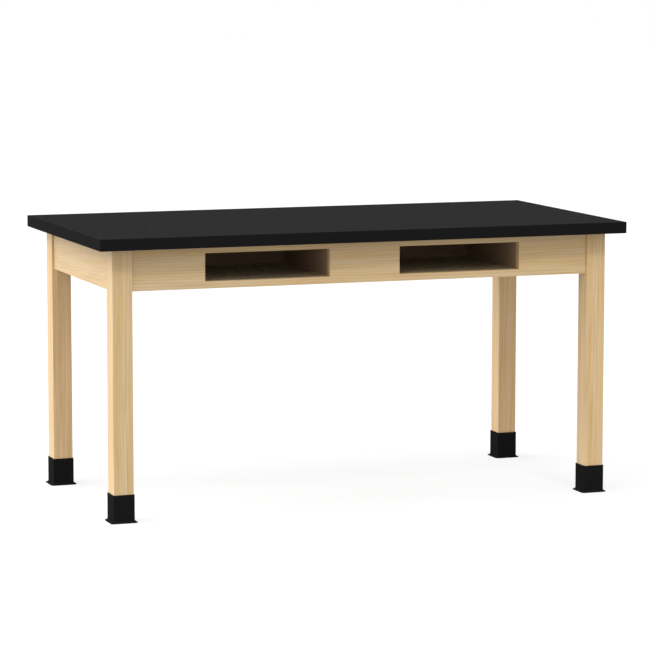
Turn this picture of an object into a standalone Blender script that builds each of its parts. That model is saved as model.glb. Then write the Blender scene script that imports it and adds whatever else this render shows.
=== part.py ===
"""Science lab table.

A hardwood frame of four legs and four aprons carries a black laminate top. Two open
book compartments hang behind cut-outs in the front apron. Each leg stands in a coved
rubber boot, on a levelling glide that screws into its foot. Metres, +Z up: the origin
is on the floor under the middle of the table, +X runs to the right, the front faces -Y.
"""

import math

import bmesh
import bpy
from mathutils import Matrix, Vector

# Clearance left between pieces that touch or sit in each other
FIT_GAP = 0.0003

# Table top: 60 by 30 inches, 1 1/4 inches thick
TOP_WIDTH = 1.524
TOP_DEPTH = 0.762
TABLE_HEIGHT = 0.76835
TOP_THICKNESS = 0.03175
LAMINATE_THICKNESS = 0.0012
BACKER_THICKNESS = 0.0008
EDGE_BAND_THICKNESS = 0.003
EDGE_BAND_EASING = 0.0006
TOP_OVERHANG = 0.04445

# Legs: square hardwood, the inner top corner cut flat for the hanger bolts
LEG_SIDE = 0.05556
LEG_EASING = 0.0012
LEG_CORNER_CUT = 0.012

# Aprons: 3/4 inch boards set back from the legs' outer faces
APRON_HEIGHT = 0.1143
APRON_THICKNESS = 0.01905
APRON_INSET = 0.00635
APRON_EASING = 0.0008

# Book compartments: 14 by 3 inch mouths in the front apron
MOUTH_WIDTH = 0.3556
MOUTH_HEIGHT = 0.0762
MIDDLE_STILE = 0.2032
LOWER_RAIL = 0.01905
COMPARTMENT_DEPTH = 0.3556
PANEL_THICKNESS = 0.0127
PANEL_REBATE = 0.005
PANEL_TONGUE = 0.006
CLEAT_SIDE = 0.01905
CLEAT_SCREW_INSET = 0.05

# Corner brackets: pressed steel, hooked into kerfs in the aprons
BRACKET_GAUGE = 0.002
BRACKET_HEIGHT = 0.0762
BRACKET_ARM = 0.03
BRACKET_HOOK = 0.0075
BRACKET_BEND = 0.004
BRACKET_LEG_SPACE = 0.004
BEAD_DEPTH = 0.0025
BEAD_HALF_HEIGHT = 0.006
BEAD_HALF_LENGTH = 0.026
BEAD_RAMP = 0.004
KERF_WIDTH = 0.0034
KERF_DEPTH = 0.0095

# Hanger bolts, 5/16 inch, each with its washer and hex nut run down on it
BOLT_DIAMETER = 0.0079
BOLT_SPACING = 0.0445
BOLT_IN_LEG = 0.034
BOLT_PAST_NUT = 0.005
NUT_FLATS = 0.0127
NUT_HEIGHT = 0.0068
WASHER_DIAMETER = 0.018
WASHER_THICKNESS = 0.0015

# Wood screws, for which brackets, clips and cleats have holes
SCREW_DIAMETER = 0.0042
BRACKET_SCREW_SPACING = 0.0445

# Z clips that hold the top down to a groove in the aprons
CLIP_GAUGE = 0.0016
CLIP_WIDTH = 0.019
CLIP_TAB = 0.0075
CLIP_FOOT = 0.019
BACK_CLIP_SPACING = 0.62
GROOVE_DROP = 0.0111
GROOVE_WIDTH = 0.0032
GROOVE_DEPTH = 0.0095

# Levelling glides: a swivel pad on a 3/8 inch stud with a hex shoulder
PAD_DIAMETER = 0.03175
PAD_RIM = 0.004
PAD_HEIGHT = 0.0095
PAD_CROWN_DIAMETER = 0.0165
PAD_FLOOR = 0.0015
PAD_EASING = 0.001
BALL_DIAMETER = 0.0095
BALL_FLAT_ANGLE = math.radians(72)
NECK_DIAMETER = 0.006
NECK_LENGTH = 0.0008
SHOULDER_FLATS = 0.0143
SHOULDER_HEIGHT = 0.0045
STUD_DIAMETER = 0.009525
STUD_LENGTH = 0.0381
STUD_POINT = 0.0015
INSERT_FLANGE_DIAMETER = 0.022
INSERT_FLANGE_THICKNESS = 0.0016
INSERT_BARREL_DIAMETER = 0.014
INSERT_LENGTH = 0.016
FOOT_BORE_CLEARANCE = 0.003

# Leg boots: black rubber, 3 inches high, coved out at the floor
BOOT_HEIGHT = 0.0762
BOOT_WALL = 0.0017
BOOT_FLARE = 0.0083
BOOT_COVE_HEIGHT = 0.0085
BOOT_LIP = 0.0012
BOOT_CORNER = 0.0022
BOOT_RIM_EASING = 0.0005

# Heights and faces that the pieces share
UNDERSIDE = TABLE_HEIGHT - TOP_THICKNESS
APRON_BOTTOM = UNDERSIDE - APRON_HEIGHT
APRON_MIDDLE = UNDERSIDE - APRON_HEIGHT / 2
LEG_HALF = LEG_SIDE / 2
FOOT_X = TOP_WIDTH / 2 - TOP_OVERHANG - LEG_HALF
FOOT_Y = TOP_DEPTH / 2 - TOP_OVERHANG - LEG_HALF
SHOULDER_BOTTOM = PAD_HEIGHT + NECK_LENGTH
SHOULDER_TOP = SHOULDER_BOTTOM + SHOULDER_HEIGHT
FLANGE_BOTTOM = SHOULDER_TOP + FIT_GAP
LEG_FOOT = FLANGE_BOTTOM + INSERT_FLANGE_THICKNESS + FIT_GAP
FLOOR_TOP = APRON_BOTTOM + LOWER_RAIL

# Where the aprons' outer and inner faces lie, seen from the axis of a leg
APRON_OUTER = -LEG_HALF + APRON_INSET
APRON_INNER = APRON_OUTER + APRON_THICKNESS

# Distances from the leg's axis, along the diagonal of the corner
LEG_FLAT = (LEG_SIDE - LEG_CORNER_CUT) / math.sqrt(2)
WEB_NEAR = LEG_FLAT + BRACKET_LEG_SPACE
WEB_FAR = WEB_NEAR + BRACKET_GAUGE
WASHER_NEAR = WEB_FAR + FIT_GAP
NUT_NEAR = WASHER_NEAR + WASHER_THICKNESS
NUT_FAR = NUT_NEAR + NUT_HEIGHT

# Centre lines of the bracket's sheet, seen from the axis of the leg
ARM_LINE = APRON_INNER + FIT_GAP + BRACKET_GAUGE / 2
WEB_LINE = (WEB_NEAR + BRACKET_GAUGE / 2) * math.sqrt(2)
ARM_START = WEB_LINE - ARM_LINE
ARM_END = ARM_START + BRACKET_ARM
HOOK_END = APRON_INNER - BRACKET_HOOK
ARM_SCREW = (ARM_START + ARM_END) / 2

# The legs in turn round the table, each a quarter turn on from the one before
CORNERS = (
    ("front_left", -1, -1),
    ("front_right", 1, -1),
    ("back_right", 1, 1),
    ("back_left", -1, 1),
)

QUARTER_TURN = math.pi / 2
SHARP_ANGLE = math.radians(40)
ROUND_SIDES = 12
FASTENER_SIDES = 8
BALL_STEPS = 4
CORNER_STEPS = 3
COVE_STEPS = 5


def clear_scene():
    for old in list(bpy.data.objects):
        bpy.data.objects.remove(old)


def finish(name, colour, roughness, metallic=0.0):
    """A Principled material of one colour."""
    material = bpy.data.materials.new(name)
    material.use_nodes = True
    shader = material.node_tree.nodes["Principled BSDF"]
    shader.inputs["Base Color"].default_value = (*colour, 1.0)
    shader.inputs["Roughness"].default_value = roughness
    shader.inputs["Metallic"].default_value = metallic
    return material


def make_piece(name, bm, material, place=Matrix()):
    """Turn a bmesh into a named object at its place, faces pointing out."""
    bmesh.ops.recalc_face_normals(bm, faces=bm.faces)
    mesh = bpy.data.meshes.new(name)
    bm.to_mesh(mesh)
    bm.free()
    if material:
        mesh.materials.append(material)
    piece = bpy.data.objects.new(name, mesh)
    piece.matrix_world = place
    bpy.context.collection.objects.link(piece)
    return piece


def smooth(piece):
    """Smooth the round faces and keep the edges sharp."""
    piece.data.shade_smooth()
    piece.data.set_sharp_from_angle(angle=SHARP_ANGLE)


def bake(piece):
    """Replace the piece's mesh by the one that its modifiers give."""
    bpy.context.view_layer.update()
    depsgraph = bpy.context.evaluated_depsgraph_get()
    baked = bpy.data.meshes.new_from_object(piece.evaluated_get(depsgraph))
    piece.modifiers.clear()
    piece.data = baked


def cut(pieces, waste):
    """Take the waste out of each piece, then drop it."""
    for piece in pieces:
        modifier = piece.modifiers.new("cut", "BOOLEAN")
        modifier.operation = "DIFFERENCE"
        modifier.solver = "EXACT"
        modifier.object = waste
        bake(piece)
    bpy.data.objects.remove(waste)


def ease(piece, width, keep):
    """Round the edges whose two end points both pass the keep test."""
    bm = bmesh.new()
    bm.from_mesh(piece.data)
    edges = [edge for edge in bm.edges if keep(*(vert.co for vert in edge.verts))]
    bmesh.ops.bevel(bm, geom=edges, offset=width, segments=2, profile=0.5, affect="EDGES")
    bm.to_mesh(piece.data)
    bm.free()


def board(name, low, high, material):
    """A square-edged board between two opposite corners."""
    low = Vector(low)
    high = Vector(high)
    bm = bmesh.new()
    bmesh.ops.create_cube(bm, size=1.0, matrix=Matrix.Diagonal((*(high - low), 1.0)))
    return make_piece(name, bm, material, Matrix.Translation((low + high) / 2))


def circle(radius, height, sides=ROUND_SIDES):
    angles = [2 * math.pi * step / sides for step in range(sides)]
    return [Vector((radius * math.cos(a), radius * math.sin(a), height)) for a in angles]


def hexagon(flats, height, sides=ROUND_SIDES):
    """A hexagon that has a point at each corner and between the corners."""
    ring = []
    for step in range(sides):
        angle = 2 * math.pi * step / sides
        off_flat = (angle + math.pi / 6) % (math.pi / 3) - math.pi / 6
        radius = flats / 2 / math.cos(off_flat)
        ring.append(Vector((radius * math.cos(angle), radius * math.sin(angle), height)))
    return ring


def rounded_square(half, corner, height):
    """A square ring with a quarter circle at each corner."""
    ring = []
    for quarter in range(4):
        turn = Matrix.Rotation(quarter * QUARTER_TURN, 3, "Z")
        for step in range(CORNER_STEPS + 1):
            angle = QUARTER_TURN * step / CORNER_STEPS
            reach_x = half - corner + corner * math.cos(angle)
            reach_y = half - corner + corner * math.sin(angle)
            ring.append(turn @ Vector((reach_x, reach_y, height)))
    return ring


def loft(bm, rings, hollow=False):
    """Skin equal rings: the ends are capped, or joined where the shape is hollow."""
    loops = [[bm.verts.new(point) for point in ring] for ring in rings]
    spans = list(zip(loops, loops[1:]))
    if hollow:
        spans.append((loops[-1], loops[0]))
    else:
        bm.faces.new(list(reversed(loops[0])))
        bm.faces.new(loops[-1])
    for lower, upper in spans:
        for side in range(len(lower)):
            after = (side + 1) % len(lower)
            bm.faces.new((lower[side], lower[after], upper[after], upper[side]))


def lofted(name, rings, material, place=Matrix(), hollow=False):
    """A node whose shape is lofted through the rings, given from its own origin."""
    bm = bmesh.new()
    loft(bm, rings, hollow)
    piece = make_piece(name, bm, material, place)
    smooth(piece)
    return piece


def cutter(rings, places):
    """Solids to be cut away, one at each of the places."""
    bm = bmesh.new()
    for place in places:
        loft(bm, [[place @ point for point in ring] for ring in rings])
    piece = make_piece("cutter", bm, None)
    piece.hide_render = True
    piece.display_type = "WIRE"
    return piece


def hole_radius(diameter, sides=ROUND_SIDES):
    """Radius of a many-sided hole whose flats clear a round piece."""
    return (diameter / 2 + FIT_GAP) / math.cos(math.pi / sides)


def foot_place(corner):
    """Place of a leg: on the floor at its axis, turned so that +X +Y points inward."""
    name, side_x, side_y = CORNERS[corner]
    spot = Matrix.Translation((side_x * FOOT_X, side_y * FOOT_Y, 0))
    return spot @ Matrix.Rotation(corner * QUARTER_TURN, 4, "Z")


def at_each_corner(places=(Matrix(),)):
    """Repeat places given from one leg's axis at all four legs."""
    return [foot_place(corner) @ place for corner in range(4) for place in places]


def bolt_places():
    """Heights and turns of a corner's bolts: +Z runs out along the diagonal."""
    turn = Matrix.Rotation(math.pi / 4, 4, "Z") @ Matrix.Rotation(QUARTER_TURN, 4, "Y")
    low = Matrix.Translation((0, 0, APRON_MIDDLE - BOLT_SPACING / 2)) @ turn
    high = Matrix.Translation((0, 0, APRON_MIDDLE + BOLT_SPACING / 2)) @ turn
    return {"low": low, "high": high}


def bracket_screw_places():
    """On both arms of a bracket, with +Z pointing out of the apron."""
    places = []
    for step in (-0.5, 0.5):
        height = APRON_MIDDLE + step * BRACKET_SCREW_SPACING
        long_arm = Matrix.Translation((ARM_SCREW, ARM_LINE, height))
        side_arm = Matrix.Translation((ARM_LINE, ARM_SCREW, height))
        places.append(long_arm @ Matrix.Rotation(-QUARTER_TURN, 4, "X"))
        places.append(side_arm @ Matrix.Rotation(QUARTER_TURN, 4, "Y"))
    return places


def clip_places():
    """On the aprons' inner faces under the top, with +Y pointing inward."""
    back_face = FOOT_Y - APRON_INNER
    side_face = FOOT_X - APRON_INNER
    half_turn = Matrix.Rotation(math.pi, 4, "Z")
    places = {}
    for name, side in (("left", -1), ("right", 1)):
        turn = Matrix.Rotation(side * QUARTER_TURN, 4, "Z")
        places[name] = Matrix.Translation((side * side_face, 0, UNDERSIDE)) @ turn
        along = side * BACK_CLIP_SPACING / 2
        places["back_" + name] = Matrix.Translation((along, back_face, UNDERSIDE)) @ half_turn
    return places


def screw_hole(places):
    """Cutter for wood screws through a sheet or a cleat, centred on the places."""
    radius = hole_radius(SCREW_DIAMETER, FASTENER_SIDES)
    rings = [circle(radius, height, FASTENER_SIDES) for height in (-CLEAT_SIDE, CLEAT_SIDE)]
    return cutter(rings, places)


def make_top(black_laminate, black_edge, particleboard):
    """Core with laminate above and a backer below, banded on all four edges."""
    half_x = TOP_WIDTH / 2
    half_y = TOP_DEPTH / 2
    band = EDGE_BAND_THICKNESS
    sheet_x = half_x - band - FIT_GAP
    sheet_y = half_y - band - FIT_GAP
    laminate_bottom = TABLE_HEIGHT - LAMINATE_THICKNESS
    backer_top = UNDERSIDE + BACKER_THICKNESS
    layers = (
        ("top_laminate", laminate_bottom, TABLE_HEIGHT, black_laminate),
        ("top_core", backer_top + FIT_GAP, laminate_bottom - FIT_GAP, particleboard),
        ("top_backer", UNDERSIDE, backer_top, black_laminate),
    )
    for name, low, high, material in layers:
        board(name, (-sheet_x, -sheet_y, low), (sheet_x, sheet_y, high), material)
    inner_y = half_y - band
    inner_x = half_x - band
    end_y = inner_y - FIT_GAP
    bands = (
        ("edge_band_front", (-half_x, -half_y), (half_x, -inner_y)),
        ("edge_band_back", (-half_x, inner_y), (half_x, half_y)),
        ("edge_band_left", (-half_x, -end_y), (-inner_x, end_y)),
        ("edge_band_right", (inner_x, -end_y), (half_x, end_y)),
    )
    for name, low, high in bands:
        strip = board(name, (*low, UNDERSIDE), (*high, TABLE_HEIGHT), black_edge)
        outward = Vector(low) + Vector(high)
        axis = 0 if abs(outward.x) > abs(outward.y) else 1
        side = math.copysign(1, outward[axis])
        ease(strip, EDGE_BAND_EASING, lambda a, b: a[axis] * side > 0 and b[axis] * side > 0)


def make_legs(maple):
    """Square legs, eased along their edges, cut flat behind the brackets."""
    legs = []
    for corner, (name, side_x, side_y) in enumerate(CORNERS):
        low = (-LEG_HALF, -LEG_HALF, LEG_FOOT)
        high = (LEG_HALF, LEG_HALF, UNDERSIDE - FIT_GAP)
        leg = board("leg_" + name, low, high, maple)
        ease(leg, LEG_EASING, lambda a, b: abs(a.z - b.z) > LEG_SIDE)
        leg.matrix_world = foot_place(corner) @ leg.matrix_world
        legs.append(leg)
    cut(legs, corner_cutter())
    radius = hole_radius(BOLT_DIAMETER)
    bore_rings = [
        circle(radius, LEG_FLAT - BOLT_IN_LEG - FIT_GAP),
        circle(radius, LEG_FLAT + LEG_CORNER_CUT),
    ]
    cut(legs, cutter(bore_rings, at_each_corner(bolt_places().values())))
    cut(legs, foot_bore_cutter())


def corner_cutter():
    """Cuts the inner corner of each leg flat, from the aprons' bottom edge up."""
    past = LEG_CORNER_CUT
    inner = LEG_HALF - LEG_CORNER_CUT
    outline = (
        (LEG_HALF + past, inner - past),
        (LEG_HALF + past, LEG_HALF + past),
        (inner - past, LEG_HALF + past),
    )
    heights = (APRON_BOTTOM, UNDERSIDE + past)
    rings = [[Vector((x, y, height)) for x, y in outline] for height in heights]
    return cutter(rings, at_each_corner())


def foot_bore_cutter():
    """Stepped bore up each foot: wide for the insert, narrow for the stud's end."""
    barrel = hole_radius(INSERT_BARREL_DIAMETER)
    stud = hole_radius(STUD_DIAMETER)
    barrel_top = LEG_FOOT + INSERT_LENGTH + FIT_GAP
    stud_top = SHOULDER_TOP + STUD_LENGTH + FOOT_BORE_CLEARANCE
    rings = [
        circle(barrel, 0),
        circle(barrel, barrel_top),
        circle(stud, barrel_top),
        circle(stud, stud_top),
    ]
    return cutter(rings, at_each_corner())


def make_aprons(maple):
    """Four boards between the legs, with mouths, saw kerfs and clip grooves."""
    end_x = FOOT_X - LEG_HALF - FIT_GAP
    end_y = FOOT_Y - LEG_HALF - FIT_GAP
    outer_x = FOOT_X - APRON_OUTER
    inner_x = FOOT_X - APRON_INNER
    outer_y = FOOT_Y - APRON_OUTER
    inner_y = FOOT_Y - APRON_INNER
    plans = (
        ("apron_front", (-end_x, -outer_y), (end_x, -inner_y)),
        ("apron_back", (-end_x, inner_y), (end_x, outer_y)),
        ("apron_left", (-outer_x, -end_y), (-inner_x, end_y)),
        ("apron_right", (inner_x, -end_y), (outer_x, end_y)),
    )
    aprons = []
    for name, low, high in plans:
        apron = board(name, (*low, APRON_BOTTOM), (*high, UNDERSIDE - FIT_GAP), maple)
        ease(apron, APRON_EASING, lambda a, b: a.z < 0 and b.z < 0 and (a - b).length > APRON_HEIGHT)
        aprons.append(apron)
    front = aprons[0]
    for side in (-1, 1):
        low_x = min(side * MIDDLE_STILE / 2, side * (MIDDLE_STILE / 2 + MOUTH_WIDTH))
        low = (low_x, -outer_y - APRON_THICKNESS, FLOOR_TOP)
        high = (low_x + MOUTH_WIDTH, -inner_y + APRON_THICKNESS, FLOOR_TOP + MOUTH_HEIGHT)
        cut([front], board("mouth", low, high, None))
    cut(aprons, kerf_cutter(mirrored=False))
    cut(aprons, kerf_cutter(mirrored=True))
    cut(aprons[:2], groove_cutter(end_x, inner_y))
    cut(aprons[2:], groove_cutter(inner_x, end_y))


def kerf_cutter(mirrored):
    """Saw kerfs up the aprons' inner faces, where the brackets hook in."""
    past = APRON_THICKNESS
    left = ARM_END - KERF_WIDTH / 2
    right = ARM_END + KERF_WIDTH / 2
    deep = APRON_INNER - KERF_DEPTH
    clear = APRON_INNER + KERF_DEPTH
    outline = [(left, deep), (right, deep), (right, clear), (left, clear)]
    if mirrored:
        outline = [(y, x) for x, y in outline]
    heights = (APRON_BOTTOM - past, UNDERSIDE + past)
    rings = [[Vector((x, y, height)) for x, y in outline] for height in heights]
    return cutter(rings, at_each_corner())


def groove_cutter(half_x, half_y):
    """A slab whose outer edge reaches into the aprons as their clip groove."""
    deep_x = half_x + GROOVE_DEPTH
    deep_y = half_y + GROOVE_DEPTH
    top = UNDERSIDE - GROOVE_DROP
    return board("groove", (-deep_x, -deep_y, top - GROOVE_WIDTH), (deep_x, deep_y, top), None)


def make_compartments(plywood, maple):
    """Two boxes behind the mouths: the floor's tongues sit in rebates of back and sides."""
    front = APRON_INNER - FOOT_Y + FIT_GAP
    back_face = APRON_INNER - FOOT_Y + COMPARTMENT_DEPTH
    rear = back_face + PANEL_THICKNESS
    top = UNDERSIDE - FIT_GAP
    floor_bottom = FLOOR_TOP - PANEL_THICKNESS
    tongue_top = floor_bottom + PANEL_TONGUE
    tongue = PANEL_REBATE - FIT_GAP
    past = PANEL_THICKNESS
    rebate = (floor_bottom - past, tongue_top + FIT_GAP)
    shoulder = (tongue_top, FLOOR_TOP + past)
    inner = MIDDLE_STILE / 2
    outer = inner + MOUTH_WIDTH
    for side, name in ((-1, "compartment_left_"), (1, "compartment_right_")):
        across = (side * (inner - tongue), side * (outer + tongue))
        along = (front, back_face + tongue)
        floor = panel(name + "floor", across, along, (floor_bottom, FLOOR_TOP), plywood)
        cut([floor], panel("shoulder", across, (back_face - FIT_GAP, rear), shoulder, None))
        across = (side * (inner + FIT_GAP), side * (outer - FIT_GAP))
        back = panel(name + "back", across, (back_face, rear), (floor_bottom, top), plywood)
        across = (side * (inner - past), side * (outer + past))
        along = (back_face - past, back_face + PANEL_REBATE)
        cut([back], panel("rebate", across, along, rebate, None))
        for wall_name, face, away in (("inner", inner, -1), ("outer", outer, 1)):
            skin = face + away * PANEL_THICKNESS
            across = (side * face, side * skin)
            wall = panel(name + wall_name + "_side", across, (front, rear), (floor_bottom, top), plywood)
            along = (front - past, rear + past)
            across = (side * (face - away * past), side * (face + away * PANEL_REBATE))
            cut([wall], panel("rebate", across, along, rebate, None))
            across = (side * (face - away * FIT_GAP), side * (face + away * past))
            cut([floor], panel("shoulder", across, along, shoulder, None))
            near = skin + away * FIT_GAP
            across = (side * near, side * (near + away * CLEAT_SIDE))
            upright = (top - CLEAT_SIDE, top)
            cleat = panel(name + wall_name + "_cleat", across, (front, rear), upright, maple)
            cut([cleat], screw_hole(cleat_screw_places(cleat)))


def panel(name, across, along, upright, material):
    """A board from its extents along X, Y and Z, each given in either order."""
    extents = (across, along, upright)
    low = [min(extent) for extent in extents]
    high = [max(extent) for extent in extents]
    return board(name, low, high, material)


def cleat_screw_places(cleat):
    """Upright through the cleat, near both of its ends."""
    middle = cleat.matrix_world.translation
    reach = COMPARTMENT_DEPTH / 2 - CLEAT_SCREW_INSET
    return [Matrix.Translation(middle + Vector((0, end * reach, 0))) for end in (-1, 1)]


def bracket_outline(bead):
    """Plan of the bracket's sheet, its web pushed out by the bead at mid length."""
    line = []
    root = ARM_LINE
    bend = BRACKET_BEND
    slope = bend / math.sqrt(2)
    line.append((ARM_END, HOOK_END, 0))
    line.append((ARM_END, root - BRACKET_GAUGE / 2, 0))
    line.append((ARM_END - BRACKET_GAUGE / 2, root, 0))
    line.append((ARM_START + bend, root, 0))
    line.append((ARM_START - slope, root + slope, 0))
    middle = WEB_LINE / 2
    for reach, lift in ((BEAD_HALF_LENGTH, 0), (BEAD_HALF_LENGTH - BEAD_RAMP, bead)):
        across = reach / math.sqrt(2)
        line.append((middle + across, middle - across, lift))
    line += [(y, x, lift) for x, y, lift in reversed(line)]
    centre = [Vector((x, y)) + Vector((1, 1)).normalized() * lift for x, y, lift in line]
    near = offset_line(centre, -BRACKET_GAUGE / 2)
    far = offset_line(centre, BRACKET_GAUGE / 2)
    return near + list(reversed(far))


def offset_line(points, distance):
    """The line moved sideways by a distance, mitred at its bends."""
    moved = []
    for index, point in enumerate(points):
        before = points[max(index - 1, 0)]
        after = points[min(index + 1, len(points) - 1)]
        entry = (point - before) if index else (after - point)
        leave = (after - point) if index < len(points) - 1 else entry
        normals = [Vector((way.y, -way.x)).normalized() for way in (entry, leave)]
        mitre = (normals[0] + normals[1]).normalized()
        moved.append(point + mitre * (distance / mitre.dot(normals[0])))
    return moved


def make_brackets(zinc_steel):
    """Pressed corner plates: hooks, arms on the aprons, a beaded web across."""
    half = BRACKET_HEIGHT / 2
    ramp = BEAD_HALF_HEIGHT + BEAD_RAMP
    rows = (
        (-half, 0),
        (-ramp, 0),
        (-BEAD_HALF_HEIGHT, BEAD_DEPTH),
        (BEAD_HALF_HEIGHT, BEAD_DEPTH),
        (ramp, 0),
        (half, 0),
    )
    rings = []
    for height, bead in rows:
        rings.append([Vector((p.x, p.y, APRON_MIDDLE + height)) for p in bracket_outline(bead)])
    brackets = []
    for corner, (name, side_x, side_y) in enumerate(CORNERS):
        brackets.append(lofted("corner_bracket_" + name, rings, zinc_steel, foot_place(corner)))
    radius = hole_radius(BOLT_DIAMETER)
    reach = BRACKET_GAUGE + BEAD_DEPTH
    hole_rings = [circle(radius, WEB_NEAR - reach), circle(radius, WEB_FAR + reach)]
    cut(brackets, cutter(hole_rings, at_each_corner(bolt_places().values())))
    cut(brackets, screw_hole(at_each_corner(bracket_screw_places())))


def make_hanger_bolts(zinc_steel):
    """Bolts out of the legs' corners, each with its washer and nut run home."""
    radius = BOLT_DIAMETER / 2
    inner_end = LEG_FLAT - BOLT_IN_LEG
    outer_end = NUT_FAR + BOLT_PAST_NUT
    point = radius / 2
    rings = [
        circle(point, inner_end),
        circle(radius, inner_end + 2 * point),
        circle(radius, WASHER_NEAR),
        circle(WASHER_DIAMETER / 2, WASHER_NEAR),
        circle(WASHER_DIAMETER / 2, NUT_NEAR),
        hexagon(NUT_FLATS, NUT_NEAR),
        hexagon(NUT_FLATS, NUT_FAR),
        circle(radius, NUT_FAR),
        circle(radius, outer_end - point / 2),
        circle(radius - point / 2, outer_end),
    ]
    for corner, (name, side_x, side_y) in enumerate(CORNERS):
        for level, turn in bolt_places().items():
            lofted("hanger_bolt_" + name + "_" + level, rings, zinc_steel, foot_place(corner) @ turn)


def make_clips(zinc_steel):
    """Z clips: a tab up in the groove, a riser, and a foot under the table top."""
    foot_top = -FIT_GAP
    foot_bottom = foot_top - CLIP_GAUGE
    tab_top = -GROOVE_DROP - FIT_GAP
    tab_bottom = tab_top - CLIP_GAUGE
    riser = FIT_GAP
    riser_far = riser + CLIP_GAUGE
    foot_end = riser_far + CLIP_FOOT
    outline = (
        (-CLIP_TAB, tab_bottom),
        (riser_far, tab_bottom),
        (riser_far, foot_bottom),
        (foot_end, foot_bottom),
        (foot_end, foot_top),
        (riser, foot_top),
        (riser, tab_top),
        (-CLIP_TAB, tab_top),
    )
    ends = (-CLIP_WIDTH / 2, CLIP_WIDTH / 2)
    rings = [[Vector((x, y, z)) for y, z in outline] for x in ends]
    to_screw = Matrix.Translation((0, riser_far + CLIP_FOOT / 2, 0))
    for name, place in clip_places().items():
        clip = lofted("top_clip_" + name, rings, zinc_steel, place)
        cut([clip], screw_hole([place @ to_screw]))


def make_glides(nylon, zinc_steel):
    """Swivel pads and their studs, and the threaded inserts in the feet."""
    ball = BALL_DIAMETER / 2
    ball_height = PAD_FLOOR + FIT_GAP + ball
    bore = hole_radius(STUD_DIAMETER)
    flange_top = FLANGE_BOTTOM + INSERT_FLANGE_THICKNESS
    insert_top = LEG_FOOT + INSERT_LENGTH
    insert = [
        circle(bore, FLANGE_BOTTOM),
        circle(INSERT_FLANGE_DIAMETER / 2, FLANGE_BOTTOM),
        circle(INSERT_FLANGE_DIAMETER / 2, flange_top),
        circle(INSERT_BARREL_DIAMETER / 2, flange_top),
        circle(INSERT_BARREL_DIAMETER / 2, insert_top),
        circle(bore, insert_top),
    ]
    for corner, (name, side_x, side_y) in enumerate(CORNERS):
        place = foot_place(corner)
        lofted("glide_pad_" + name, pad_rings(ball, ball_height), nylon, place)
        lofted("glide_stud_" + name, stud_rings(ball, ball_height), zinc_steel, place)
        lofted("foot_insert_" + name, insert, zinc_steel, place, hollow=True)


def pad_rings(ball, ball_height):
    """Wide foot, domed crown and the socket that holds the stud's ball."""
    rim = PAD_DIAMETER / 2
    crown = PAD_CROWN_DIAMETER / 2
    socket = hole_radius(2 * ball)
    outside = [
        circle(rim - PAD_EASING, 0),
        circle(rim, PAD_EASING),
        circle(rim, PAD_RIM),
        circle((rim + crown) / 2, (PAD_RIM + PAD_HEIGHT) / 2),
        circle(crown, PAD_HEIGHT),
    ]
    mouth_angle = math.asin((PAD_HEIGHT - ball_height) / socket)
    inside = ball_rings(socket, ball_height, mouth_angle)
    return outside + list(reversed(inside))


def ball_rings(radius, height, top_angle):
    """A ball from the flat at its bottom up to an angle above its middle."""
    rings = []
    for step in range(BALL_STEPS + 1):
        angle = -BALL_FLAT_ANGLE + (top_angle + BALL_FLAT_ANGLE) * step / BALL_STEPS
        rings.append(circle(radius * math.cos(angle), height + radius * math.sin(angle)))
    return rings


def stud_rings(ball, ball_height):
    """Ball, neck, hex shoulder and threaded shank, from the pad upward."""
    neck = NECK_DIAMETER / 2
    stud = STUD_DIAMETER / 2
    end = SHOULDER_TOP + STUD_LENGTH
    rings = ball_rings(ball, ball_height, math.acos(neck / ball))
    rings += [
        circle(neck, SHOULDER_BOTTOM),
        hexagon(SHOULDER_FLATS, SHOULDER_BOTTOM),
        hexagon(SHOULDER_FLATS, SHOULDER_TOP),
        circle(stud, SHOULDER_TOP),
        circle(stud, end - STUD_POINT),
        circle(stud - STUD_POINT, end),
    ]
    return rings


def make_boots(rubber):
    """Square sleeves over the feet, swept out in a cove where they meet the floor."""
    inside = LEG_HALF + FIT_GAP
    wall = inside + BOOT_WALL
    corner = BOOT_CORNER
    inner_corner = max(LEG_EASING, FIT_GAP)
    rings = [
        rounded_square(inside, inner_corner, BOOT_HEIGHT),
        rounded_square(wall - BOOT_RIM_EASING, corner, BOOT_HEIGHT),
        rounded_square(wall, corner, BOOT_HEIGHT - BOOT_RIM_EASING),
    ]
    for step in range(COVE_STEPS + 1):
        angle = QUARTER_TURN * step / COVE_STEPS
        reach = wall + BOOT_FLARE * (1 - math.cos(angle))
        height = BOOT_COVE_HEIGHT - (BOOT_COVE_HEIGHT - BOOT_LIP) * math.sin(angle)
        rings.append(rounded_square(reach, corner, height))
    rings.append(rounded_square(wall + BOOT_FLARE, corner, 0))
    rings.append(rounded_square(inside, inner_corner, 0))
    for corner_index, (name, side_x, side_y) in enumerate(CORNERS):
        lofted("boot_" + name, rings, rubber, foot_place(corner_index), hollow=True)


def make_table():
    clear_scene()
    maple = finish("clear_coated_maple", (0.68, 0.47, 0.26), 0.45)
    plywood = finish("maple_plywood", (0.6, 0.4, 0.22), 0.6)
    particleboard = finish("particleboard", (0.42, 0.3, 0.18), 0.85)
    black_laminate = finish("black_laminate", (0.03, 0.03, 0.03), 0.4)
    black_edge = finish("black_edge_band", (0.011, 0.011, 0.011), 0.45)
    black_rubber = finish("black_rubber", (0.012, 0.012, 0.012), 0.55)
    nylon = finish("grey_nylon", (0.3, 0.3, 0.31), 0.5)
    zinc_steel = finish("zinc_plated_steel", (0.62, 0.63, 0.62), 0.35, 1.0)

    make_top(black_laminate, black_edge, particleboard)
    make_legs(maple)
    make_aprons(maple)
    make_compartments(plywood, maple)
    make_brackets(zinc_steel)
    make_hanger_bolts(zinc_steel)
    make_clips(zinc_steel)
    make_glides(nylon, zinc_steel)
    make_boots(black_rubber)


make_table()
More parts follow.
